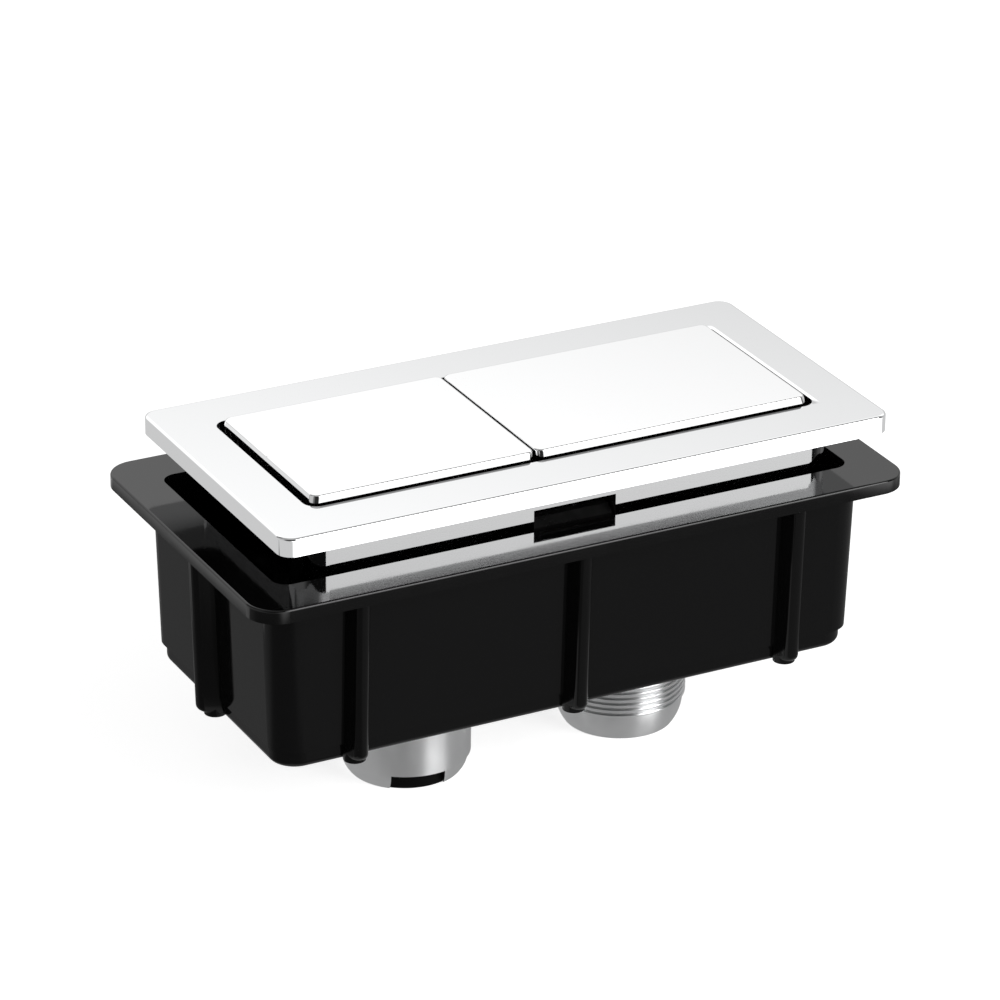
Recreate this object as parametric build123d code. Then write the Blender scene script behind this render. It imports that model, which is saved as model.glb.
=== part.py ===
from build123d import *
import math
import os

# Dual flush button plate for a cistern lid. All sizes are in millimetres.
# The part stands on its two pusher feet: z = 0 is under the feet, z points up,
# x runs along the plate, and the origin is below the middle of the housing flange.

# The plate, its skirt and the box are as large as what they hold or surround, with the
# walls and clearances named below. With these sizes the plate is 112 long and 56 wide.

# Chrome plate and the skirt that reaches down through the lid
PLATE_THICKNESS = 3.2
PLATE_CORNER = 2.6
PLATE_EDGE_ROUND = 0.45
END_BORDER = 8.9
SIDE_BORDER = 9.3
WELL_CORNER = 2.4
PLATE_END_REACH = 6.5
PLATE_SIDE_REACH = 7.0
SKIRT_DEPTH = 17.2
SKIRT_WALL = 2.0
SKIRT_CORNER = 4.9
WINDOW_WIDTH = 15.2
WINDOW_HEIGHT = 7.6
WINDOW_DROP = 4.4

# The plate sits this far off the middle of the housing, in the play of its opening
PLATE_SHIFT_X = 1.47
PLATE_SHIFT_Y = -0.59

# Lid thickness that the part is set to
LID_GAP = 7.3

# Button caps
CAP_MARGIN = 1.13
CAP_SLOPE = 15.0
CAP_SPLIT_GAP = 0.45
CAP_SPLIT_X = -5.4
CAP_PROUD = 1.2
CAP_HEIGHT = 6.0
CAP_TOP = 1.8
CAP_WALL = 1.6
CAP_CORNER = 1.3
CAP_EDGE_ROUND = 0.35
CAP_BOSS_RADIUS = 4.0
CAP_RIB = 1.2
CAP_RIB_HEIGHT = 2.6
BUTTON_TRAVEL = 4.5
TRAVEL_CLEARANCE = 0.7

# Plungers, one under each cap
PLUNGER_SPACING = 41.3
CARRIER_THICKNESS = 2.0
CARRIER_INSET = 0.9
CARRIER_CORNER = 1.5
SOCKET_LENGTH = 20.0
SOCKET_WALL = 1.85
GROOVE_DEPTH = 0.5

# Retaining rings below the guides
RING_THICKNESS = 1.2
RING_REACH = 1.6
RING_MOUTH = 9.0

# Return springs round the guide tubes
SPRING_WIRE = 1.0
SPRING_TURNS = 4.0
SPRING_ROOM = 0.95

# Guide frame that snaps into the skirt
GUIDE_FLOOR = 2.4
GUIDE_RIM_WALL = 1.6
GUIDE_TUBE_WALL = 1.5
GUIDE_EDGE_INSET = 0.2
GUIDE_RIB = 1.6
GUIDE_RIB_DEPTH = 2.2
GUIDE_RIB_INSET = 3.6
TONGUE_REACH = 1.5
TONGUE_LEAD = 1.2
TONGUE_SLIT = 1.0

# Clamp hardware between guide frame and housing
CLAMP_GAP = 1.1
CLAMP_RADIUS = 2.0
CLAMP_BEYOND_NUT = 1.4
CLAMP_HEAD_RADIUS = 3.5
CLAMP_HEAD_HEIGHT = 2.6
WASHER_RADIUS = 3.8
WASHER_THICKNESS = 0.8
NUT_LENGTH = 14.0
NUT_WIDTH = 7.0
NUT_THICKNESS = 2.0
NUT_PLAY = 1.8
POCKET_WALL = 1.2
POCKET_CEILING = 1.8
POCKET_DEPTH = 4.5
POCKET_HOLE_RADIUS = 4.6

# Cap screws
CAP_SCREW_RADIUS = 2.0
CAP_SCREW_GRIP = 5.2
CAP_SCREW_HEAD_RADIUS = 3.6
CAP_SCREW_HEAD_HEIGHT = 2.4
RECESS_WIDTH = 0.9
RECESS_SHARE = 0.6

# Housing under the lid
FLANGE_LENGTH = 120.2
FLANGE_WIDTH = 63.4
FLANGE_THICKNESS = 2.35
FLANGE_CORNER = 5.2
FLANGE_EDGE_ROUND = 0.35
BOX_END_PLAY = 3.55
BOX_SIDE_PLAY = 2.45
BOX_WALL = 2.5
BOX_END_WALL = 1.8
BOX_DEPTH = 30.7
BOX_CORNER = 5.2
BOX_DRAFT = 1.8
BOX_FOOT_ROUND = 1.2
BOX_RIM_HEIGHT = 3.2
BOX_RIM_INSET = 0.6
HOUSING_FLOOR = 2.2
RIB_RADIUS = 1.9
RIB_SPACING = 40.4
FOOT_HOLE_PLAY = 3.25

# Pusher feet, chrome sleeves screwed into the plunger sockets
FOOT_REACH = 17.25
FOOT_HEIGHT = 42.0
FOOT_WALL = 2.05
FOOT_WEB = 2.0
SMALL_FOOT_RADIUS = 11.25
SMALL_NOSE_HEIGHT = 3.1
SMALL_NOSE_STEP = 0.45
LARGE_FOOT_RADIUS = 11.2
LARGE_NOSE_HEIGHT = 4.6
LARGE_NOSE_STEP = 0.15
NOSE_TAPER = 1.55
NOSE_RIM = 1.1
NOSE_BULGE_SHARE = 0.45
NOSE_BULGE_OUT = 0.25
NOSE_SLOT_WIDTH = 9.3
NOSE_SLOT_ANGLE = 77.0
PAD_HEIGHT = 5.0
PAD_LUG_INSET = 0.35

# Clearances between pieces
RUNNING_FIT = 0.1
SCREW_FIT = 0.08
SNAP_FIT = 0.2
LOOSE_FIT = 0.25
GROOVE_FIT = 0.05
THREAD_FIT = 0.3

# Heights worked out from the sizes above
BOX_BOTTOM = FOOT_REACH
FLANGE_UNDER = BOX_BOTTOM + BOX_DEPTH
FLANGE_TOP = FLANGE_UNDER + FLANGE_THICKNESS
PLATE_UNDER = FLANGE_TOP + LID_GAP
PLATE_TOP = PLATE_UNDER + PLATE_THICKNESS
SKIRT_BOTTOM = PLATE_UNDER - SKIRT_DEPTH
WINDOW_TOP = PLATE_UNDER - WINDOW_DROP
WINDOW_BOTTOM = WINDOW_TOP - WINDOW_HEIGHT
GUIDE_BOTTOM = SKIRT_BOTTOM - GUIDE_FLOOR
CAP_TOP_FACE = PLATE_TOP + CAP_PROUD
CAP_BOTTOM = CAP_TOP_FACE - CAP_HEIGHT
CAP_CEILING = CAP_TOP_FACE - CAP_TOP
RIM_TOP = CAP_BOTTOM - BUTTON_TRAVEL - TRAVEL_CLEARANCE
CARRIER_UNDER = CAP_BOTTOM - CARRIER_THICKNESS
TUBE_TOP = CARRIER_UNDER - BUTTON_TRAVEL - TRAVEL_CLEARANCE
SOCKET_BOTTOM = CARRIER_UNDER - SOCKET_LENGTH
HOUSING_FLOOR_TOP = BOX_BOTTOM + HOUSING_FLOOR
POCKET_TOP = BOX_BOTTOM + POCKET_DEPTH
NUT_TOP = POCKET_TOP

# Radii worked out from the feet outwards
WIDEST_FOOT = max(SMALL_FOOT_RADIUS, LARGE_FOOT_RADIUS)
SOCKET_RADIUS = WIDEST_FOOT + THREAD_FIT
PLUNGER_RADIUS = SOCKET_RADIUS + SOCKET_WALL
GROOVE_RADIUS = PLUNGER_RADIUS - GROOVE_DEPTH
RING_RADIUS = PLUNGER_RADIUS + RING_REACH
GUIDE_BORE_RADIUS = PLUNGER_RADIUS + RUNNING_FIT
GUIDE_TUBE_RADIUS = GUIDE_BORE_RADIUS + GUIDE_TUBE_WALL
SPRING_RADIUS = GUIDE_TUBE_RADIUS + LOOSE_FIT + SPRING_WIRE / 2
SPRING_REACH = SPRING_RADIUS + SPRING_WIRE / 2
FOOT_HOLE_RADIUS = WIDEST_FOOT + FOOT_HOLE_PLAY

# Lengths and widths worked out from the mechanism outwards
CLAMP_SPACING = PLUNGER_SPACING + 2 * (SPRING_REACH + CLAMP_GAP + WASHER_RADIUS)
RIM_INNER_LENGTH = CLAMP_SPACING + 2 * (WASHER_RADIUS + RUNNING_FIT)
RIM_INNER_WIDTH = 2 * (SPRING_REACH + SPRING_ROOM)
RIM_LENGTH = RIM_INNER_LENGTH + 2 * GUIDE_RIM_WALL
RIM_WIDTH = RIM_INNER_WIDTH + 2 * GUIDE_RIM_WALL
SKIRT_INNER_LENGTH = RIM_LENGTH + 2 * SNAP_FIT
SKIRT_INNER_WIDTH = RIM_WIDTH + 2 * SNAP_FIT
SKIRT_LENGTH = SKIRT_INNER_LENGTH + 2 * SKIRT_WALL
SKIRT_WIDTH = SKIRT_INNER_WIDTH + 2 * SKIRT_WALL
PLATE_LENGTH = SKIRT_LENGTH + 2 * PLATE_END_REACH
PLATE_WIDTH = SKIRT_WIDTH + 2 * PLATE_SIDE_REACH
WELL_LENGTH = PLATE_LENGTH - 2 * END_BORDER
WELL_WIDTH = PLATE_WIDTH - 2 * SIDE_BORDER
OPENING_LENGTH = SKIRT_LENGTH + 2 * BOX_END_PLAY
OPENING_WIDTH = SKIRT_WIDTH + 2 * BOX_SIDE_PLAY
BOX_LENGTH = OPENING_LENGTH + 2 * BOX_END_WALL
BOX_WIDTH = OPENING_WIDTH + 2 * BOX_WALL
CAP_WIDTH = WELL_WIDTH - 2 * CAP_MARGIN
CAP_LEFT = -WELL_LENGTH / 2 + CAP_MARGIN
CAP_RIGHT = WELL_LENGTH / 2 - CAP_MARGIN
SMALL_CAP_RIGHT = CAP_SPLIT_X - CAP_SPLIT_GAP / 2
LARGE_CAP_LEFT = CAP_SPLIT_X + CAP_SPLIT_GAP / 2


def slab(length, width, corner, bottom, top):
    """Upright block with rounded corners, centred on the z axis."""
    return Pos(0, 0, bottom) * extrude(RectangleRounded(length, width, corner), top - bottom)


def rod(radius, bottom, top, x=0.0, y=0.0):
    """Upright round bar."""
    return Pos(x, y, bottom) * extrude(Circle(radius), top - bottom)


def block(x_size, y_size, bottom, top, x=0.0, y=0.0):
    """Upright plain block."""
    return Pos(x, y, bottom) * extrude(Rectangle(x_size, y_size), top - bottom)


def on_plate(shape):
    """Moves a piece from the plate's own middle to its place over the housing."""
    return Pos(PLATE_SHIFT_X, PLATE_SHIFT_Y, 0) * shape


def top_edges(shape):
    return shape.faces().sort_by(Axis.Z)[-1].edges()


def bottom_edges(shape):
    return shape.faces().sort_by(Axis.Z)[0].edges()


def bezel():
    """Chrome frame plate with its skirt, one moulding."""
    plate = slab(PLATE_LENGTH, PLATE_WIDTH, PLATE_CORNER, PLATE_UNDER, PLATE_TOP)
    plate = fillet(top_edges(plate), PLATE_EDGE_ROUND)
    skirt = slab(SKIRT_LENGTH, SKIRT_WIDTH, SKIRT_CORNER, SKIRT_BOTTOM, PLATE_UNDER)
    inner_corner = SKIRT_CORNER - SKIRT_WALL
    hollow = slab(SKIRT_INNER_LENGTH, SKIRT_INNER_WIDTH, inner_corner, SKIRT_BOTTOM, PLATE_UNDER)
    well = slab(WELL_LENGTH, WELL_WIDTH, WELL_CORNER, PLATE_UNDER, PLATE_TOP)
    windows = block(WINDOW_WIDTH, 2 * SKIRT_WIDTH, WINDOW_BOTTOM, WINDOW_TOP)
    body = plate + (skirt - hollow) - well - windows
    return on_plate(body)


def tongue(side):
    """Snap tongue of the guide frame, seated in a skirt window."""
    inner = RIM_INNER_WIDTH / 2
    face = RIM_WIDTH / 2
    tip = face + TONGUE_REACH
    base = WINDOW_BOTTOM + GROOVE_FIT
    outline = Polyline((inner, base), (tip, base), (tip, RIM_TOP - TONGUE_LEAD), (face, RIM_TOP),
                       (inner, RIM_TOP), close=True)
    half = WINDOW_WIDTH / 2 - SNAP_FIT
    wedge = extrude(Plane.YZ * make_face(outline), half, both=True)
    return wedge if side > 0 else mirror(wedge, Plane.XZ)


def guide_frame():
    """Black frame with two guide tubes that closes the skirt from below."""
    edge_length = SKIRT_LENGTH - 2 * GUIDE_EDGE_INSET
    edge_width = SKIRT_WIDTH - 2 * GUIDE_EDGE_INSET
    body = slab(edge_length, edge_width, SKIRT_CORNER - GUIDE_EDGE_INSET, GUIDE_BOTTOM, SKIRT_BOTTOM)
    rim_corner = SKIRT_CORNER - SKIRT_WALL - SNAP_FIT
    rim = slab(RIM_LENGTH, RIM_WIDTH, rim_corner, SKIRT_BOTTOM, RIM_TOP)
    rim -= block(RIM_INNER_LENGTH, RIM_INNER_WIDTH, SKIRT_BOTTOM, RIM_TOP)
    slit_x = WINDOW_WIDTH / 2 - SNAP_FIT + TONGUE_SLIT / 2
    for x in (-slit_x, slit_x):
        rim -= block(TONGUE_SLIT, 2 * RIM_WIDTH, SKIRT_BOTTOM, RIM_TOP, x)
    body += rim
    body += tongue(1) + tongue(-1)
    rib_y = SKIRT_WIDTH / 2 - GUIDE_RIB_INSET
    for y in (-rib_y, rib_y):
        body += block(RIM_INNER_LENGTH, GUIDE_RIB, GUIDE_BOTTOM - GUIDE_RIB_DEPTH, GUIDE_BOTTOM, 0, y)
    for x in (-PLUNGER_SPACING / 2, PLUNGER_SPACING / 2):
        body += rod(GUIDE_TUBE_RADIUS, GUIDE_BOTTOM, TUBE_TOP, x)
        body -= rod(GUIDE_BORE_RADIUS, GUIDE_BOTTOM, TUBE_TOP, x)
    for x in (-CLAMP_SPACING / 2, CLAMP_SPACING / 2):
        body -= rod(CLAMP_RADIUS + LOOSE_FIT, GUIDE_BOTTOM, SKIRT_BOTTOM, x)
    return on_plate(body)


def cap_outline(left, right, width, z):
    """Outline of a cap at one height."""
    return Pos((left + right) / 2, 0, z) * RectangleRounded(right - left, width, CAP_CORNER)


def cap(left, right, boss_x):
    """Hollow chrome button cap with sloped outer sides and a screw boss over its plunger."""
    length = right - left
    middle = (left + right) / 2
    lean = math.tan(math.radians(CAP_SLOPE)) * CAP_PROUD
    outer_side = math.copysign(1, middle - CAP_SPLIT_X)
    top_left = left if outer_side > 0 else left + lean
    top_right = right - lean if outer_side > 0 else right
    body = extrude(cap_outline(left, right, CAP_WIDTH, CAP_BOTTOM), CAP_HEIGHT - CAP_PROUD)
    crown = loft([cap_outline(left, right, CAP_WIDTH, PLATE_TOP),
                  cap_outline(top_left, top_right, CAP_WIDTH - 2 * lean, CAP_TOP_FACE)])
    body += fillet(top_edges(crown), CAP_EDGE_ROUND)
    hollow = block(length - 2 * CAP_WALL, CAP_WIDTH - 2 * CAP_WALL, CAP_BOTTOM, CAP_CEILING, middle)
    body -= hollow
    rib_bottom = CAP_CEILING - CAP_RIB_HEIGHT
    body += block(length - 2 * CAP_WALL, CAP_RIB, rib_bottom, CAP_CEILING, middle)
    body += block(CAP_RIB, CAP_WIDTH - 2 * CAP_WALL, rib_bottom, CAP_CEILING, boss_x)
    body += rod(CAP_BOSS_RADIUS, CAP_BOTTOM, CAP_CEILING, boss_x)
    hole_top = CARRIER_UNDER + CAP_SCREW_GRIP + LOOSE_FIT
    body -= rod(CAP_SCREW_RADIUS + SCREW_FIT, CAP_BOTTOM, hole_top, boss_x)
    return on_plate(body)


def plunger(left, right, axis_x):
    """Carrier plate under a cap with the round socket that takes a foot."""
    length = right - left - 2 * CARRIER_INSET
    width = CAP_WIDTH - 2 * CARRIER_INSET
    plate = slab(length, width, CARRIER_CORNER, CARRIER_UNDER, CAP_BOTTOM)
    body = Pos((left + right) / 2, 0, 0) * plate
    body += rod(PLUNGER_RADIUS, SOCKET_BOTTOM, CARRIER_UNDER, axis_x)
    body -= rod(SOCKET_RADIUS, SOCKET_BOTTOM, CARRIER_UNDER, axis_x)
    body -= rod(CAP_SCREW_RADIUS + LOOSE_FIT, CARRIER_UNDER, CAP_BOTTOM, axis_x)
    ring_bottom = GUIDE_BOTTOM - RING_THICKNESS - GROOVE_FIT
    groove = rod(RING_RADIUS, ring_bottom, GUIDE_BOTTOM, axis_x)
    groove -= rod(GROOVE_RADIUS, ring_bottom, GUIDE_BOTTOM, axis_x)
    return on_plate(body - groove)


def retaining_ring(axis_x):
    """Open ring in the plunger's groove that stops it against the guide frame."""
    bottom = GUIDE_BOTTOM - RING_THICKNESS
    ring = rod(RING_RADIUS, bottom, GUIDE_BOTTOM, axis_x)
    ring -= rod(GROOVE_RADIUS + GROOVE_FIT, bottom, GUIDE_BOTTOM, axis_x)
    ring -= block(RING_MOUTH, RING_RADIUS, bottom, GUIDE_BOTTOM, axis_x, RING_RADIUS)
    return on_plate(ring)


def return_spring(axis_x):
    """Coil spring between the guide frame's floor and the carrier plate."""
    start = SKIRT_BOTTOM + SPRING_WIRE / 2 + GROOVE_FIT
    end = CARRIER_UNDER - SPRING_WIRE / 2 - GROOVE_FIT
    height = end - start
    path = Helix(height / SPRING_TURNS, height, SPRING_RADIUS)
    section = Plane(path @ 0, z_dir=path % 0) * Circle(SPRING_WIRE / 2)
    return on_plate(Pos(axis_x, 0, start) * sweep(section, path, is_frenet=True))


def cross_recess(size, bottom, top, x):
    """Cross that is cut into a screw head."""
    return block(size, RECESS_WIDTH, bottom, top, x) + block(RECESS_WIDTH, size, bottom, top, x)


def cap_screw(axis_x):
    """Pan-head screw that holds a cap on its plunger, driven from below."""
    head_bottom = CARRIER_UNDER - CAP_SCREW_HEAD_HEIGHT
    head = rod(CAP_SCREW_HEAD_RADIUS, head_bottom, CARRIER_UNDER, axis_x)
    head = fillet(bottom_edges(head), CAP_SCREW_HEAD_HEIGHT / 3)
    recess_top = head_bottom + CAP_SCREW_HEAD_HEIGHT * RECESS_SHARE
    head -= cross_recess(CAP_SCREW_HEAD_RADIUS, head_bottom, recess_top, axis_x)
    shank = rod(CAP_SCREW_RADIUS, CARRIER_UNDER, CARRIER_UNDER + CAP_SCREW_GRIP, axis_x)
    return on_plate(head + shank)


def clamp_screw(x):
    """Long pan-head screw that draws the housing up under the lid."""
    seat = SKIRT_BOTTOM + WASHER_THICKNESS
    head = rod(CLAMP_HEAD_RADIUS, seat, seat + CLAMP_HEAD_HEIGHT, x)
    head = fillet(top_edges(head), CLAMP_HEAD_HEIGHT / 3)
    recess_bottom = seat + CLAMP_HEAD_HEIGHT * (1 - RECESS_SHARE)
    head -= cross_recess(CLAMP_HEAD_RADIUS, recess_bottom, seat + CLAMP_HEAD_HEIGHT, x)
    shank = rod(CLAMP_RADIUS, NUT_TOP - NUT_THICKNESS - CLAMP_BEYOND_NUT, seat, x)
    shank = chamfer(bottom_edges(shank), CLAMP_RADIUS / 4)
    return head + shank


def clamp_washer(x):
    washer = rod(WASHER_RADIUS, SKIRT_BOTTOM, SKIRT_BOTTOM + WASHER_THICKNESS, x)
    return washer - rod(CLAMP_RADIUS + SCREW_FIT, SKIRT_BOTTOM, SKIRT_BOTTOM + WASHER_THICKNESS, x)


def clamp_nut(x):
    """Rectangular nut that floats in a pocket of the housing floor."""
    nut = block(NUT_WIDTH, NUT_LENGTH, NUT_TOP - NUT_THICKNESS, NUT_TOP, x)
    nut = chamfer(nut.edges().filter_by(Axis.Z), NUT_THICKNESS / 3)
    return nut - rod(CLAMP_RADIUS + SCREW_FIT, NUT_TOP - NUT_THICKNESS, NUT_TOP, x)


def both_ends(make):
    """One group of two like fasteners, at the two ends of the plate."""
    return Compound([on_plate(make(-CLAMP_SPACING / 2)), on_plate(make(CLAMP_SPACING / 2))])


def draft_over(height):
    """How far a drafted wall leans in over a height."""
    return math.tan(math.radians(BOX_DRAFT)) * height


def drafted_box(length, width, corner, top, bottom):
    """Block that narrows downwards by the mould draft."""
    outline = RectangleRounded(length, width, corner)
    return Pos(0, 0, top) * extrude(outline, top - bottom, dir=(0, 0, -1), taper=BOX_DRAFT)


def housing_rib(x_side, y_side, x, y):
    """Half-round rib down one wall of the box, along its draft."""
    lean = draft_over(BOX_DEPTH)
    top = Pos(x, y, FLANGE_UNDER) * Circle(RIB_RADIUS)
    bottom = Pos(x - x_side * lean, y - y_side * lean, BOX_BOTTOM) * Circle(RIB_RADIUS)
    return loft([bottom, top])


def housing():
    """Black moulded box with its lid flange, ribs, foot holes and nut pockets."""
    flange = slab(FLANGE_LENGTH, FLANGE_WIDTH, FLANGE_CORNER, FLANGE_UNDER, FLANGE_TOP)
    flange = fillet(top_edges(flange), FLANGE_EDGE_ROUND)
    rim_top = BOX_BOTTOM + BOX_RIM_HEIGHT
    box = drafted_box(BOX_LENGTH, BOX_WIDTH, BOX_CORNER, FLANGE_UNDER, rim_top)
    inset = 2 * (draft_over(BOX_DEPTH - BOX_RIM_HEIGHT) + BOX_RIM_INSET)
    rim_corner = BOX_CORNER - BOX_RIM_INSET
    rim = slab(BOX_LENGTH - inset, BOX_WIDTH - inset, rim_corner, BOX_BOTTOM, rim_top)
    rim = fillet(bottom_edges(rim), BOX_FOOT_ROUND)
    body = flange + box + rim
    for y_side in (-1, 1):
        for x in (-RIB_SPACING, 0, RIB_SPACING):
            body += housing_rib(0, y_side, x, y_side * BOX_WIDTH / 2)
    for x_side in (-1, 1):
        body += housing_rib(x_side, 0, x_side * BOX_LENGTH / 2, 0)
    inner_corner = BOX_CORNER - BOX_WALL
    body -= slab(OPENING_LENGTH, OPENING_WIDTH, inner_corner, FLANGE_UNDER, FLANGE_TOP)
    body -= drafted_box(OPENING_LENGTH, OPENING_WIDTH, inner_corner, FLANGE_UNDER, HOUSING_FLOOR_TOP)
    pocket_x = NUT_WIDTH + 2 * NUT_PLAY
    pocket_y = NUT_LENGTH + 2 * NUT_PLAY
    for x in (-CLAMP_SPACING / 2, CLAMP_SPACING / 2):
        shell_x = pocket_x + 2 * POCKET_WALL
        shell_y = pocket_y + 2 * POCKET_WALL
        body += block(shell_x, shell_y, BOX_BOTTOM, POCKET_TOP + POCKET_CEILING, x)
        body -= block(pocket_x, pocket_y, BOX_BOTTOM, POCKET_TOP, x)
        body -= rod(POCKET_HOLE_RADIUS, POCKET_TOP, POCKET_TOP + POCKET_CEILING, x)
    for x in (-PLUNGER_SPACING / 2, PLUNGER_SPACING / 2):
        body -= rod(FOOT_HOLE_RADIUS, BOX_BOTTOM, HOUSING_FLOOR_TOP, x)
    return body


def foot_sleeve(radius, nose_height, nose_step):
    """Turned chrome sleeve with a rounded nose and a web that the pad seats on."""
    tip_radius = radius - NOSE_TAPER
    nose_radius = radius - nose_step
    bulge_radius = tip_radius + (nose_radius - tip_radius) * (1 - NOSE_BULGE_SHARE)
    bulge = (bulge_radius + NOSE_BULGE_OUT, nose_height * NOSE_BULGE_SHARE)
    inner_radius = radius - FOOT_WALL
    pad_seat = tip_radius - NOSE_RIM + GROOVE_FIT
    web_top = PAD_HEIGHT + FOOT_WEB
    with BuildPart() as sleeve:
        with BuildSketch(Plane.XZ):
            with BuildLine():
                Polyline((pad_seat, 0), (tip_radius, 0))
                ThreePointArc((tip_radius, 0), bulge, (nose_radius, nose_height))
                Polyline((nose_radius, nose_height), (radius, nose_height), (radius, FOOT_HEIGHT),
                         (inner_radius, FOOT_HEIGHT), (inner_radius, web_top), (0, web_top),
                         (0, PAD_HEIGHT), (pad_seat, PAD_HEIGHT), (pad_seat, 0))
            make_face()
        revolve(axis=Axis.Z)
    return sleeve.part


def nose_slot(width, radius):
    """Bar across the nose, turned to the slot's angle."""
    bar = block(2 * radius, width, 0, SMALL_NOSE_HEIGHT)
    return Rot(0, 0, NOSE_SLOT_ANGLE) * bar


def small_foot(axis_x):
    """Smooth sleeve, slotted across its nose."""
    sleeve = foot_sleeve(SMALL_FOOT_RADIUS, SMALL_NOSE_HEIGHT, SMALL_NOSE_STEP)
    sleeve -= nose_slot(NOSE_SLOT_WIDTH, 2 * SMALL_FOOT_RADIUS)
    return on_plate(Pos(axis_x, 0, 0) * sleeve)


def large_foot(axis_x):
    """Sleeve that is threaded down to its plain nose."""
    sleeve = foot_sleeve(LARGE_FOOT_RADIUS, LARGE_NOSE_HEIGHT, LARGE_NOSE_STEP)
    return on_plate(Pos(axis_x, 0, 0) * sleeve)


def small_foot_pad(axis_x):
    """Black pad in the nose, with lugs that fill the slot."""
    tip_radius = SMALL_FOOT_RADIUS - NOSE_TAPER
    pad = rod(tip_radius - NOSE_RIM, 0, PAD_HEIGHT)
    lugs = nose_slot(NOSE_SLOT_WIDTH - 2 * GROOVE_FIT, tip_radius)
    limit = rod(tip_radius - PAD_LUG_INSET, 0, SMALL_NOSE_HEIGHT)
    return on_plate(Pos(axis_x, 0, 0) * (pad + (lugs & limit)))


def large_foot_pad(axis_x):
    """Black pad in the plain nose."""
    return on_plate(rod(LARGE_FOOT_RADIUS - NOSE_TAPER - NOSE_RIM, 0, PAD_HEIGHT, axis_x))


def build_all():
    small_x = -PLUNGER_SPACING / 2
    large_x = PLUNGER_SPACING / 2
    return {
        "bezel": bezel(),
        "guide_frame": guide_frame(),
        "clamp_screws": both_ends(clamp_screw),
        "clamp_washers": both_ends(clamp_washer),
        "clamp_nuts": both_ends(clamp_nut),
        "housing": housing(),
        "small_button": cap(CAP_LEFT, SMALL_CAP_RIGHT, small_x),
        "small_plunger": plunger(CAP_LEFT, SMALL_CAP_RIGHT, small_x),
        "small_cap_screw": cap_screw(small_x),
        "small_retaining_ring": retaining_ring(small_x),
        "small_return_spring": return_spring(small_x),
        "small_foot": small_foot(small_x),
        "small_foot_pad": small_foot_pad(small_x),
        "large_button": cap(LARGE_CAP_LEFT, CAP_RIGHT, large_x),
        "large_plunger": plunger(LARGE_CAP_LEFT, CAP_RIGHT, large_x),
        "large_cap_screw": cap_screw(large_x),
        "large_retaining_ring": retaining_ring(large_x),
        "large_return_spring": return_spring(large_x),
        "large_foot": large_foot(large_x),
        "large_foot_pad": large_foot_pad(large_x),
    }


os.makedirs("parts", exist_ok=True)
for name, shape in build_all().items():
    export_step(shape, "parts/" + name + ".step")
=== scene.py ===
"""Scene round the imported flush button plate: finishes, threads, ribs, camera, floor, room and light."""

import math

import bmesh
import bpy
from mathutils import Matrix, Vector


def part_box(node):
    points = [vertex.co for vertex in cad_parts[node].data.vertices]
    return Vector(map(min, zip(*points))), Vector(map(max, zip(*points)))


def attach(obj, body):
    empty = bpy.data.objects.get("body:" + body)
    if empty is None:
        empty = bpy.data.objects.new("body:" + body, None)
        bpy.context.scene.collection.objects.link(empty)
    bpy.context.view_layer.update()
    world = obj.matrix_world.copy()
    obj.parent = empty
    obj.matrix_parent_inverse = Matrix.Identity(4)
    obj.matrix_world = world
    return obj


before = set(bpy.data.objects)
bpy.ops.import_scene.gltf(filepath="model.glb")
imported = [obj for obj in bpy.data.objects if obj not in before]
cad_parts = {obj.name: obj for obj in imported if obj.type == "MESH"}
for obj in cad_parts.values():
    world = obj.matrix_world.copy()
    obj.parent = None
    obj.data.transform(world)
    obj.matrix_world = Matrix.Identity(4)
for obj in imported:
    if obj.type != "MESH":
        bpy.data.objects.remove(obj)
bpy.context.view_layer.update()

# Lengths are in metres and angles in degrees. Most pairs of numbers are where a change starts and ends.

# Camera, aimed near the middle of the bezel's top face, with its sensor and lens in millimetres
CAMERA_AZIMUTH = -27.67
CAMERA_ELEVATION = 24.91
CAMERA_ROLL = 0.62
CAMERA_DISTANCE = 0.8277
CAMERA_RIGHT = 0.00272
CAMERA_UP = 0.01444
CAMERA_CLIP = 0.01
SENSOR = 36.0
LENS = 178.96

# Floor as the camera sees it
FLOOR_SIZE = 6.0
FLOOR_DROP = 0.00005
FLOOR_ALBEDO = 0.8
FLOOR_LIFT = 0.76

# Floor in reflections: where the pool of painted shadow round the object ends, and the patch of painted
# shade under the housing
POOL_SIDE = (0.1005, 0.1022)
POOL_SIDE_FROM = (0.035, 0.045)
POOL_ENDS = (0.127, 0.136)
POOL_CORNER = (0.106, 0.112)
CORNER_X = 0.056
CORNER_Y = 0.029
UNDER_X = (0.056, 0.066)
UNDER_Y = (0.03, 0.042)

# Its brightness in each place, and the cosines between which it changes with the direction
# Painted shadow: in reflections the floor under the housing and round it is darker, standing in for the
# object's shadow
UNDER_SHADOW_LEVEL = 0.38
NEAR_SHADOW_LEVEL = 0.185
NEAR_SHADOW_DARK = 0.1
NEAR_SHADOW_DARK_AZIMUTH = -62.0
NEAR_SHADOW_DARK_TURN = (0.82, 0.95)
# Painted light: beyond the pool the floor is brighter in reflections towards the lamp
FAR_LEVEL = 0.62
FAR_FRONT_LIGHT = 2.5
FAR_FRONT_LIGHT_AZIMUTH = 20.0
FAR_FRONT_LIGHT_TURN = (0.6, 0.85)

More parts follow.
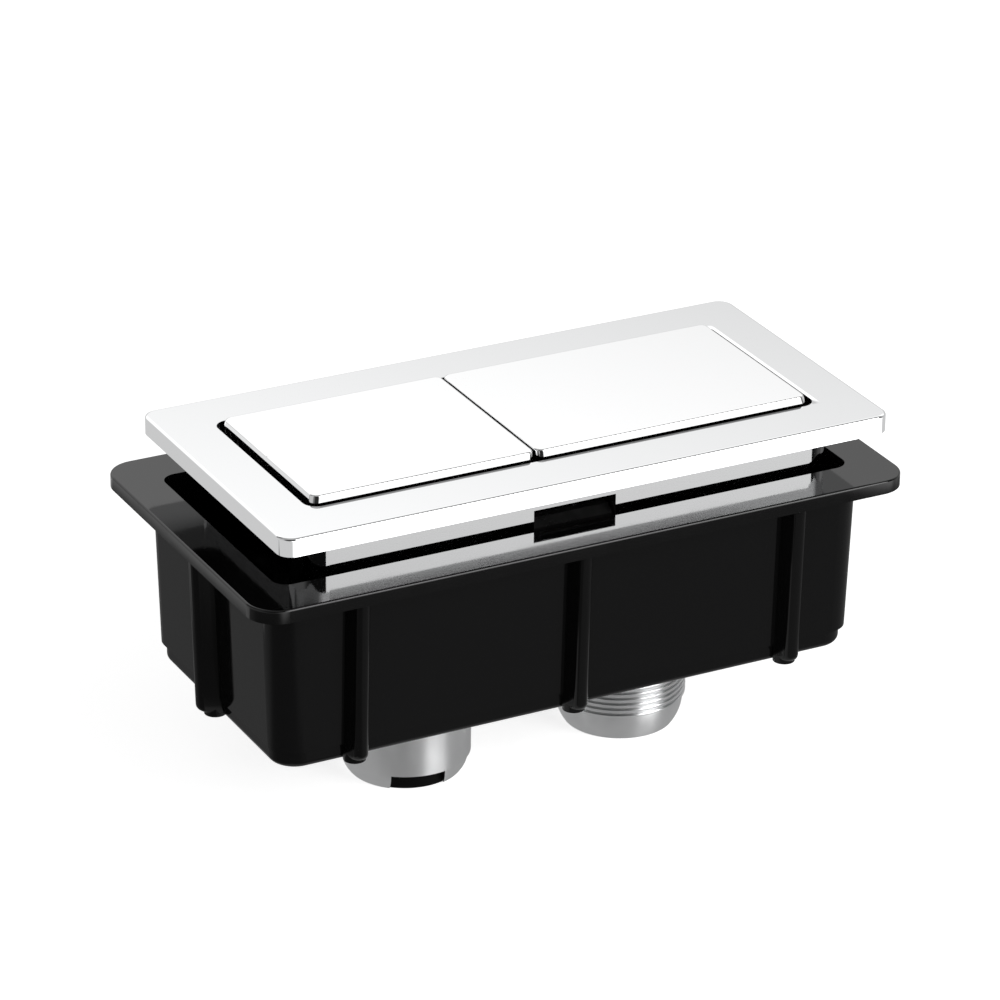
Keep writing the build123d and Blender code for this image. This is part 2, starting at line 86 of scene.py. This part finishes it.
# Room in reflections: brightness of the far wall, zenith, front glow and sides. The pairs are cosines or
# parts of the ray's direction, but WALL_RANGE is the wall's lowest and highest brightness.
SKY_DIFFUSE = 0.35
SKY_DARK = 0.02
WALL_LEVEL = 1.0
WALL_RANGE = (0.6, 1.25)
WALL_TURN = 0.8
WALL_RISE = 4.0
WALL_FACING = (0.25, 0.6)
WALL_TOP = (0.7, 0.85)
ZENITH_LEVEL = 0.4
ZENITH_HEIGHT = (0.65, 0.85)
GLOW_LEVEL = 1.15
GLOW_FACING = (0.9, 0.97)
SIDE_LEVEL = 0.5
SIDE_FACING = (0.6, 0.8)
SIDE_DEPTH = (-0.5, -0.15)
SIDE_FRONT_SHARE = 0.25

# Lamp
SOFTBOX_AZIMUTH = 27.0
SOFTBOX_ELEVATION = 25.0
SOFTBOX_DISTANCE = 1.6
SOFTBOX_SIZE = 0.95
SOFTBOX_RADIANCE = 5.6

# Fine noise of all finishes
NOISE_DETAIL = 4.0
NOISE_RANGE = (0.3, 0.7)
BUMP_DEPTH = 0.0001
BRUSHED_TURN = 0.25

# Crown of the caps, as a slope, and the rolled edge at the right end of the bezel's opening, which fades
# out along Y on both sides of its middle
CAP_CROWN = 0.016
ROLL_X = 0.04857
ROLL_WIDTH = 0.00075
ROLL_SLOPE = 0.14
ROLL_Y = -0.00059
ROLL_SPAN = (0.0163, 0.0187)

# Housing ribs: tapered fins over the half-round ribs of the solid, each with a round nose
FLANGE_THICKNESS = 0.00235
BOX_HALF_LENGTH = 0.05485
BOX_HALF_WIDTH = 0.02595
BOX_LEAN = 0.000965
RIB_SPACING = 0.0404
FIN_HALF_WIDTH = 0.00205
FIN_NOSE = 0.0013
FIN_REACH = 0.0034
FIN_END = 0.0014
FIN_LIFT = 0.0008
FIN_ROOT = 0.0006
FIN_SHARP = 45.0
FIN_STEPS = 20

# Threads: bottom and top of each, how far out the ridge reaches and how deep it sinks into the foot, and
# half its width at foot and crest as shares of the pitch
THREAD_SPANS = {"large_foot": (0.0045, 0.0415), "small_foot": (0.0215, 0.0415)}
THREAD_PITCH = 0.001
THREAD_HEIGHT = 0.0003
THREAD_LIMIT = 0.0115
THREAD_SINK = 0.00003
THREAD_ROOT = 0.00008
THREAD_FOOT = 0.46
THREAD_CREST = 0.14
THREAD_ROUND = 1.06
THREAD_STEPS = 72
THREAD_FADE_STEPS = 24

scene = bpy.context.scene


def direction(azimuth, elevation=0.0):
    """Unit vector from the object to a place, with azimuth 0 in front and turning to the right."""
    a = math.radians(azimuth)
    e = math.radians(elevation)
    return Vector((math.sin(a) * math.cos(e), -math.cos(a) * math.cos(e), math.sin(e)))


def middle(node):
    low, high = (Vector(corner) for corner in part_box(node))
    return (low + high) / 2


def grey(level):
    return (level, level, level, 1.0)


class Graph:
    """Short way to write a node tree."""

    def __init__(self, tree):
        self.tree = tree
        tree.nodes.clear()

    def node(self, kind, settings=None, **inputs):
        node = self.tree.nodes.new(kind)
        for name, value in (settings or {}).items():
            setattr(node, name, value)
        for name, value in inputs.items():
            self.feed(node.inputs[name.replace("_", " ")], value)
        return node

    def feed(self, socket, value):
        if isinstance(value, bpy.types.NodeSocket):
            self.tree.links.new(value, socket)
        else:
            socket.default_value = value

    def math(self, operation, *values, clamp=False):
        node = self.tree.nodes.new("ShaderNodeMath")
        node.operation = operation
        node.use_clamp = clamp
        for socket, value in zip(node.inputs, values):
            self.feed(socket, value)
        return node.outputs[0]

    def limit(self, value, low, high):
        return self.math("MINIMUM", self.math("MAXIMUM", value, low), high)

    def remap(self, value, span, start=0.0, end=1.0):
        """Smooth change from start to end while the value crosses the span."""
        node = self.node("ShaderNodeMapRange", {"interpolation_type": "SMOOTHSTEP"}, Value=value)
        node.inputs["From Min"].default_value = span[0]
        node.inputs["From Max"].default_value = span[1]
        node.inputs["To Min"].default_value = start
        node.inputs["To Max"].default_value = end
        return node.outputs[0]

    def dot(self, vector, fixed):
        node = self.node("ShaderNodeVectorMath", {"operation": "DOT_PRODUCT"})
        self.feed(node.inputs[0], vector)
        node.inputs[1].default_value = fixed
        return node.outputs["Value"]


def crown(graph, place):
    """Height of the caps' top, which rises a little to the back."""
    parts = graph.node("ShaderNodeSeparateXYZ", Vector=place)
    return graph.math("MULTIPLY", parts.outputs["Y"], CAP_CROWN)


def roll(graph, place):
    """Height of the bezel's face, which falls away to the opening at its right end."""
    parts = graph.node("ShaderNodeSeparateXYZ", Vector=place)
    short = graph.math("SUBTRACT", ROLL_X + ROLL_WIDTH, parts.outputs["X"])
    short = graph.limit(short, 0.0, ROLL_WIDTH)
    here = graph.math("GREATER_THAN", parts.outputs["X"], ROLL_X - ROLL_WIDTH)
    rise = graph.math("MULTIPLY", graph.math("MULTIPLY", short, here), -ROLL_SLOPE)
    aside = graph.math("ABSOLUTE", graph.math("SUBTRACT", parts.outputs["Y"], ROLL_Y))
    return graph.math("MULTIPLY", rise, graph.remap(aside, ROLL_SPAN, 1.0, 0.0))


def surface(name, base, roughness, spread, scale, bump, metallic=0.0, specular=0.5, brushed=0.0, form=None):
    """Principled material whose roughness and bump vary with a fine noise, over a form given as a height."""
    material = bpy.data.materials.new(name)
    material.use_nodes = True
    graph = Graph(material.node_tree)
    place = graph.node("ShaderNodeTexCoord").outputs["Object"]
    noise = graph.node("ShaderNodeTexNoise", Vector=place, Scale=scale, Detail=NOISE_DETAIL)
    shader = graph.node("ShaderNodeBsdfPrincipled", Base_Color=base, Metallic=metallic)
    shader.inputs["Specular IOR Level"].default_value = specular
    rough = graph.remap(noise.outputs[0], NOISE_RANGE, roughness - spread, roughness + spread)
    graph.feed(shader.inputs["Roughness"], rough)
    if brushed:
        shader.inputs["Anisotropic"].default_value = brushed
        shader.inputs["Anisotropic Rotation"].default_value = BRUSHED_TURN
    relief = graph.node("ShaderNodeBump", Height=noise.outputs[0], Strength=bump, Distance=BUMP_DEPTH)
    if form:
        shape = graph.node("ShaderNodeBump", Height=form(graph, place), Strength=1.0, Distance=1.0)
        graph.feed(relief.inputs["Normal"], shape.outputs[0])
    graph.feed(shader.inputs["Normal"], relief.outputs[0])
    output = graph.node("ShaderNodeOutputMaterial")
    graph.feed(output.inputs["Surface"], shader.outputs[0])
    return material


def dress(node, material):
    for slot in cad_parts[node].material_slots:
        slot.material = material


def finish_materials():
    """Give each node its finish, and return those of the feet and the housing for the added pieces."""
    plate = surface("chrome_plate", base=(0.92, 0.925, 0.93, 1), metallic=1.0, roughness=0.035,
                    spread=0.012, scale=60.0, bump=0.01, form=roll)
    button = surface("chrome_button", base=(0.97, 0.972, 0.975, 1), metallic=1.0, roughness=0.035,
                     spread=0.012, scale=60.0, bump=0.01, form=crown)
    foot_chrome = surface("chrome_foot", base=(0.86, 0.865, 0.87, 1), metallic=1.0, roughness=0.34,
                          spread=0.03, scale=300.0, bump=0.02, brushed=0.9)
    black = surface("gloss_black", base=(0.0025, 0.0025, 0.0026, 1), roughness=0.06, spread=0.02,
                    scale=120.0, bump=0.01, specular=0.43)
    guide = surface("guide_black", base=grey(0.004), roughness=0.3, spread=0.05, scale=200.0, bump=0.05)
    pad = surface("pad_black", base=grey(0.002), roughness=0.6, spread=0.1, scale=500.0, bump=0.1,
                  specular=0.1)
    acetal = surface("white_acetal", base=(0.7, 0.7, 0.68, 1), roughness=0.4, spread=0.05, scale=200.0,
                     bump=0.05)
    steel = surface("zinc_steel", base=(0.62, 0.63, 0.65, 1), metallic=1.0, roughness=0.3, spread=0.08,
                    scale=400.0, bump=0.1)
    spring = surface("spring_steel", base=(0.55, 0.55, 0.56, 1), metallic=1.0, roughness=0.22,
                     spread=0.05, scale=400.0, bump=0.1)
    looks = {
        plate: ("bezel",),
        button: ("small_button", "large_button"),
        foot_chrome: ("small_foot", "large_foot"),
        black: ("housing",),
        guide: ("guide_frame",),
        pad: ("small_foot_pad", "large_foot_pad"),
        acetal: ("small_plunger", "large_plunger"),
        steel: ("clamp_screws", "clamp_washers", "clamp_nuts", "small_cap_screw", "large_cap_screw"),
        spring: ("small_return_spring", "large_return_spring", "small_retaining_ring",
                 "large_retaining_ring"),
    }
    for material, nodes in looks.items():
        for node in nodes:
            dress(node, material)
    return foot_chrome, black


def skin(name, rings, material):
    """Closed smooth object over a row of rings, each a list of as many places, with both ends filled."""
    mesh = bpy.data.meshes.new(name)
    grid = bmesh.new()
    loops = []
    for ring in rings:
        loops.append([grid.verts.new(place) for place in ring])
    for first, second in zip(loops, loops[1:]):
        for k in range(len(first)):
            after = (k + 1) % len(first)
            grid.faces.new((first[k], second[k], second[after], first[after]))
    grid.faces.new(list(reversed(loops[0])))
    grid.faces.new(loops[-1])
    bmesh.ops.recalc_face_normals(grid, faces=grid.faces)
    grid.to_mesh(mesh)
    grid.free()
    for face in mesh.polygons:
        face.use_smooth = True
    mesh.materials.append(material)
    piece = bpy.data.objects.new(name, mesh)
    scene.collection.objects.link(piece)
    return piece


def helix_ridge(name, centre, root, crest, bottom, top, material):
    """Fine thread: a ridge that climbs round a cylinder, faded in and out at its ends."""
    turns = (top - bottom) / THREAD_PITCH
    count = int(turns * THREAD_STEPS)
    rings = []
    for i in range(count + 1):
        angle = 2 * math.pi * i / THREAD_STEPS
        z = bottom + THREAD_PITCH * i / THREAD_STEPS
        fade = min(1.0, i / THREAD_FADE_STEPS, (count - i) / THREAD_FADE_STEPS)
        height = (crest - root) * fade
        profile = (
            (root - THREAD_ROOT, -THREAD_FOOT),
            (root + height, -THREAD_CREST),
            (root + height * THREAD_ROUND, 0.0),
            (root + height, THREAD_CREST),
            (root - THREAD_ROOT, THREAD_FOOT),
        )
        ring = []
        for radius, share in profile:
            x = centre.x + radius * math.cos(angle)
            y = centre.y + radius * math.sin(angle)
            ring.append((x, y, z + share * THREAD_PITCH))
        rings.append(ring)
    return skin(name, rings, material)


def threads(material):
    """Threads of the two feet: down to the nose on the large one, hidden by the housing on the small one."""
    for foot, (bottom, top) in THREAD_SPANS.items():
        low, high = (Vector(corner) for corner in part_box(foot))
        centre = (low + high) / 2
        root = (high.x - low.x) / 2
        crest = min(root + THREAD_HEIGHT, THREAD_LIMIT)
        ridge = helix_ridge(foot + "_thread", centre, root - THREAD_SINK, crest, bottom, top, material)
        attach(ridge, foot)


def fin_outline(reach):
    """Outline of a rib, across and outwards: flanks that taper to a round nose."""
    straight = reach - FIN_NOSE
    points = [(-FIN_HALF_WIDTH, -FIN_ROOT), (-FIN_HALF_WIDTH, 0.0)]
    for step in range(FIN_STEPS + 1):
        angle = math.pi - math.pi * step / FIN_STEPS
        points.append((FIN_NOSE * math.cos(angle), straight + FIN_NOSE * math.sin(angle)))
    points.append((FIN_HALF_WIDTH, 0.0))
    points.append((FIN_HALF_WIDTH, -FIN_ROOT))
    return points


def fin(name, foot, head, outward, material):
    """Rib down one wall of the box, from head to foot, with a rounded lower end."""
    across = Vector((-outward.y, outward.x, 0.0))
    levels = [(head.z, FIN_REACH)]
    for step in range(FIN_STEPS + 1):
        angle = 0.5 * math.pi * step / FIN_STEPS
        rise = FIN_END * (1.0 - math.sin(angle))
        shortfall = FIN_END * (1.0 - math.cos(angle))
        levels.append((foot.z + rise, FIN_REACH - shortfall))
    rings = []
    for z, reach in levels:
        share = (z - foot.z) / (head.z - foot.z)
        base = foot.lerp(head, share)
        ring = []
        for side, out in fin_outline(reach):
            place = base + across * side + outward * out
            ring.append((place.x, place.y, z))
        rings.append(ring)
    rib = skin(name, rings, material)
    rib.data.set_sharp_from_angle(angle=math.radians(FIN_SHARP))
    return rib


def housing_ribs(material):
    """The ribs' full depth, over the half-round ones of the housing."""
    low, high = (Vector(corner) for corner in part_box("housing"))
    head_z = high.z - FLANGE_THICKNESS
    places = []
    for number, x in enumerate((-RIB_SPACING, 0.0, RIB_SPACING)):
        places.append(("front_%d" % number, Vector((x, -BOX_HALF_WIDTH, 0)), Vector((0, -1, 0))))
        places.append(("back_%d" % number, Vector((x, BOX_HALF_WIDTH, 0)), Vector((0, 1, 0))))
    places.append(("left", Vector((-BOX_HALF_LENGTH, 0, 0)), Vector((-1, 0, 0))))
    places.append(("right", Vector((BOX_HALF_LENGTH, 0, 0)), Vector((1, 0, 0))))
    for name, wall, outward in places:
        head = Vector((wall.x, wall.y, head_z))
        foot = Vector((wall.x, wall.y, low.z + FIN_LIFT)) - outward * BOX_LEAN
        rib = fin("housing_rib_" + name, foot, head, outward, material)
        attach(rib, "housing")


def make_camera():
    """Camera at the photograph's viewing angle, leaning a little to one side."""
    back = direction(CAMERA_AZIMUTH, CAMERA_ELEVATION)
    a = math.radians(CAMERA_AZIMUTH)
    level = Vector((math.cos(a), math.sin(a), 0.0))
    rise = back.cross(level)
    lean = math.radians(CAMERA_ROLL)
    right = math.cos(lean) * level + math.sin(lean) * rise
    up = -math.sin(lean) * level + math.cos(lean) * rise
    target = middle("bezel")
    target.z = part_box("bezel")[1][2]
    data = bpy.data.cameras.new("Camera")
    camera = bpy.data.objects.new("Camera", data)
    scene.collection.objects.link(camera)
    data.sensor_width = SENSOR
    data.lens = LENS
    data.clip_start = CAMERA_CLIP
    matrix = camera.matrix_world.to_3x3()
    for column, axis in enumerate((right, up, back)):
        for row in range(3):
            matrix[row][column] = axis[row]
    placed = matrix.to_4x4()
    placed.translation = target + back * CAMERA_DISTANCE - right * CAMERA_RIGHT - up * CAMERA_UP
    camera.matrix_world = placed
    scene.camera = camera


def shadow_pool_edge(graph, x, y, depth):
    """0 in the pool of painted shadow round the object and 1 beyond it, for the places that bezel and flange
    mirror.
    """
    side = graph.remap(depth, POOL_SIDE_FROM)
    side = graph.math("MULTIPLY", side, graph.remap(x, POOL_SIDE))
    past_x = graph.math("MAXIMUM", graph.math("SUBTRACT", x, CORNER_X), 0.0)
    past_y = graph.math("MAXIMUM", graph.math("SUBTRACT", -CORNER_Y, depth), 0.0)
    square_x = graph.math("MULTIPLY", past_x, past_x)
    square_y = graph.math("MULTIPLY", past_y, past_y)
    past = graph.math("SQRT", graph.math("ADD", square_x, square_y))
    corner = graph.remap(past, POOL_CORNER)
    ends = graph.remap(y, POOL_ENDS)
    return graph.math("MAXIMUM", side, graph.math("MAXIMUM", corner, ends))


def floor_seen(graph):
    """Brightness of the floor in reflections, with painted shadow round the object and under the housing,
    and painted light towards the lamp beyond it.
    """
    place = graph.node("ShaderNodeTexCoord").outputs["Object"]
    parts = graph.node("ShaderNodeSeparateXYZ", Vector=place)
    x = graph.math("ABSOLUTE", parts.outputs["X"])
    y = graph.math("ABSOLUTE", parts.outputs["Y"])
    outside = shadow_pool_edge(graph, x, y, parts.outputs["Y"])
    apart = graph.math("MAXIMUM", graph.remap(x, UNDER_X), graph.remap(y, UNDER_Y))
    unit = graph.node("ShaderNodeVectorMath", {"operation": "NORMALIZE"})
    graph.feed(unit.inputs[0], place)
    away = unit.outputs["Vector"]
    to_dark = graph.dot(away, direction(NEAR_SHADOW_DARK_AZIMUTH))
    to_front = graph.dot(away, direction(FAR_FRONT_LIGHT_AZIMUTH))
    # Painted shade: darker floor under the housing and round it, darkest towards the front left
    near = graph.node("ShaderNodeMix", Factor=apart)
    near.inputs["A"].default_value = UNDER_SHADOW_LEVEL
    graph.feed(near.inputs["B"], graph.remap(to_dark, NEAR_SHADOW_DARK_TURN, NEAR_SHADOW_LEVEL, NEAR_SHADOW_DARK))
    seen = graph.node("ShaderNodeMix", Factor=outside)
    graph.feed(seen.inputs["A"], near.outputs["Result"])
    # Painted light: floor beyond the pool brighter towards the lamp
    graph.feed(seen.inputs["B"], graph.remap(to_front, FAR_FRONT_LIGHT_TURN, FAR_LEVEL, FAR_FRONT_LIGHT))
    return seen.outputs["Result"]


def floor_material():
    """White with the object's shadow to the camera, and with a painted shadow round the object in
    reflections.
    """
    material = bpy.data.materials.new("floor_white")
    material.use_nodes = True
    graph = Graph(material.node_tree)
    seen = floor_seen(graph)
    path = graph.node("ShaderNodeLightPath")
    lift = graph.math("MULTIPLY", path.outputs["Is Camera Ray"], FLOOR_LIFT)
    mirror = graph.math("MULTIPLY", path.outputs["Is Glossy Ray"], seen)
    glow = graph.node("ShaderNodeEmission", Strength=graph.math("ADD", lift, mirror))
    matte = graph.node("ShaderNodeBsdfDiffuse", Color=grey(FLOOR_ALBEDO))
    dark = graph.node("ShaderNodeBsdfDiffuse", Color=grey(0.0))
    shown = graph.node("ShaderNodeMixShader", Fac=path.outputs["Is Glossy Ray"])
    graph.feed(shown.inputs[1], matte.outputs[0])
    graph.feed(shown.inputs[2], dark.outputs[0])
    both = graph.node("ShaderNodeAddShader")
    graph.feed(both.inputs[0], shown.outputs[0])
    graph.feed(both.inputs[1], glow.outputs[0])
    output = graph.node("ShaderNodeOutputMaterial")
    graph.feed(output.inputs["Surface"], both.outputs[0])
    return material


def make_floor():
    mesh = bpy.data.meshes.new("floor")
    half = FLOOR_SIZE / 2
    corners = [(-half, -half, 0), (half, -half, 0), (half, half, 0), (-half, half, 0)]
    mesh.from_pydata(corners, [], [(0, 1, 2, 3)])
    mesh.materials.append(floor_material())
    floor = bpy.data.objects.new("floor", mesh)
    floor.location.z = -FLOOR_DROP
    scene.collection.objects.link(floor)


def far_wall(graph, ray, height):
    """Wall that the top faces mirror towards the camera, brighter to one side and upwards."""
    turn = math.radians(CAMERA_AZIMUTH + 180.0)
    tilt = math.radians(CAMERA_ELEVATION)
    sideways = Vector((math.cos(turn), math.sin(turn), 0.0))
    upward = Vector((-math.sin(turn) * math.sin(tilt), math.cos(turn) * math.sin(tilt), math.cos(tilt)))
    side = graph.math("MULTIPLY", graph.dot(ray, sideways), WALL_TURN)
    rise = graph.math("MULTIPLY", graph.dot(ray, upward), WALL_RISE)
    wall = graph.math("ADD", graph.math("ADD", side, rise), WALL_LEVEL)
    wall = graph.limit(wall, *WALL_RANGE)
    facing = graph.remap(graph.dot(ray, direction(CAMERA_AZIMUTH + 180.0)), WALL_FACING)
    below_top = graph.remap(height, WALL_TOP, 1.0, 0.0)
    return graph.math("MULTIPLY", graph.math("MULTIPLY", wall, facing), below_top)


def room_seen(graph):
    """Brightness of the room in reflections."""
    ray = graph.node("ShaderNodeTexCoord").outputs["Generated"]
    parts = graph.node("ShaderNodeSeparateXYZ", Vector=ray)
    wall = far_wall(graph, ray, parts.outputs["Z"])
    zenith = graph.remap(parts.outputs["Z"], ZENITH_HEIGHT, 0.0, ZENITH_LEVEL)
    to_lamp = graph.dot(ray, direction(SOFTBOX_AZIMUTH))
    front = graph.remap(to_lamp, GLOW_FACING, SKY_DARK, GLOW_LEVEL)
    across = graph.math("ABSOLUTE", parts.outputs["X"])
    sides = graph.remap(across, SIDE_FACING, 0.0, SIDE_LEVEL)
    fade = graph.remap(parts.outputs["Y"], SIDE_DEPTH, SIDE_FRONT_SHARE, 1.0)
    sides = graph.math("MULTIPLY", sides, fade)
    behind = graph.math("MAXIMUM", wall, zenith)
    return graph.math("MAXIMUM", behind, graph.math("MAXIMUM", front, sides))


def make_world():
    """White room for the camera, soft grey light, and a shaded room in reflections."""
    world = bpy.data.worlds.new("Studio")
    scene.world = world
    world.use_nodes = True
    graph = Graph(world.node_tree)
    seen = room_seen(graph)
    path = graph.node("ShaderNodeLightPath")
    camera = path.outputs["Is Camera Ray"]
    glossy = path.outputs["Is Glossy Ray"]
    neither = graph.math("SUBTRACT", 1.0, graph.math("ADD", camera, glossy), clamp=True)
    soft = graph.math("MULTIPLY", neither, SKY_DIFFUSE)
    mirror = graph.math("MULTIPLY", glossy, seen)
    strength = graph.math("ADD", graph.math("ADD", camera, mirror), soft)
    background = graph.node("ShaderNodeBackground", Color=grey(1.0), Strength=strength)
    output = graph.node("ShaderNodeOutputWorld")
    graph.feed(output.inputs["Surface"], background.outputs[0])


def make_softbox():
    lamp = bpy.data.lights.new("softbox", "AREA")
    lamp.shape = "SQUARE"
    lamp.size = SOFTBOX_SIZE
    lamp.energy = SOFTBOX_RADIANCE * math.pi * SOFTBOX_SIZE * SOFTBOX_SIZE
    holder = bpy.data.objects.new("softbox", lamp)
    away = direction(SOFTBOX_AZIMUTH, SOFTBOX_ELEVATION)
    holder.location = away * SOFTBOX_DISTANCE
    holder.rotation_euler = away.to_track_quat("Z", "Y").to_euler()
    scene.collection.objects.link(holder)


scene.view_settings.view_transform = "Standard"
foot_finish, housing_finish = finish_materials()
make_camera()
threads(foot_finish)
housing_ribs(housing_finish)
make_floor()
make_world()
make_softbox()
